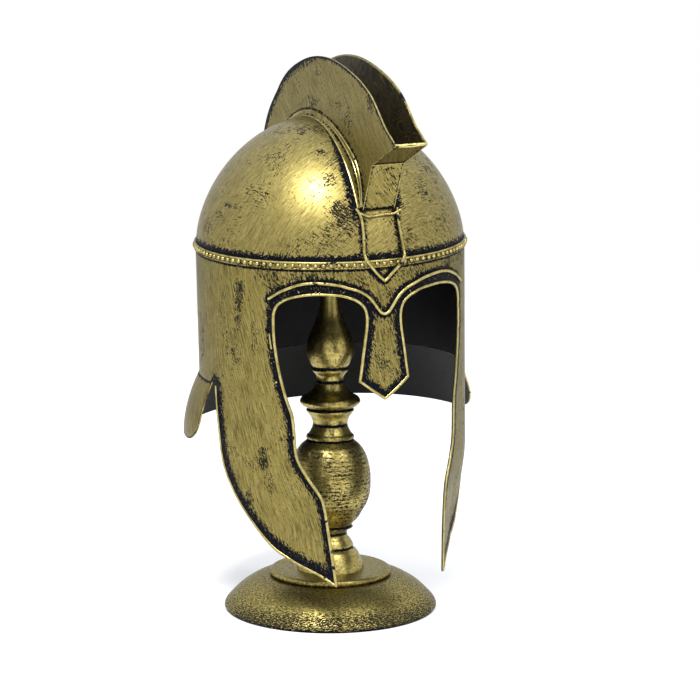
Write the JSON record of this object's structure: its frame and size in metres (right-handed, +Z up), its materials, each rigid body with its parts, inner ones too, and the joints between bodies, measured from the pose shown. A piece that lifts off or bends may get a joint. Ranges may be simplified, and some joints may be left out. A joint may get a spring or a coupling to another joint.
{
  "type": "roman helmet on display stand",
  "caption": "Wearable sheet-metal helmet with a rounded dome, open plume crest, cheekpieces and flared neck guard, resting on a turned stand.",
  "frame": {"origin": "centre of the flat underside of the stand's base", "axes": "+Z up along the stand's axis; the helmet faces -Y; +X is the viewer's right when the face is looked at from the front"},
  "size_m": [0.2396, 0.292, 0.4425],
  "materials": {
    "antique_gold_sheet": "antique gold, brushed over a black patina",
    "bright_gold_wire": "bright, polished",
    "gilt_stand": "turned, antique gold over black"
  },
  "bodies": {
    "root": {"dome": "antique_gold_sheet", "bead_band": "bright_gold_wire", "face_wall": "antique_gold_sheet", "neck_guard": "antique_gold_sheet", "crest": "antique_gold_sheet", "crest_foot_left": "bright_gold_wire", "crest_foot_right": "bright_gold_wire", "rim_wire_left": "bright_gold_wire", "rim_wire_right": "bright_gold_wire", "brow_wire": "bright_gold_wire", "tongue_wire": "bright_gold_wire", "stand_base": "gilt_stand", "stand_stem": "gilt_stand"}
  },
  "joints": []
}
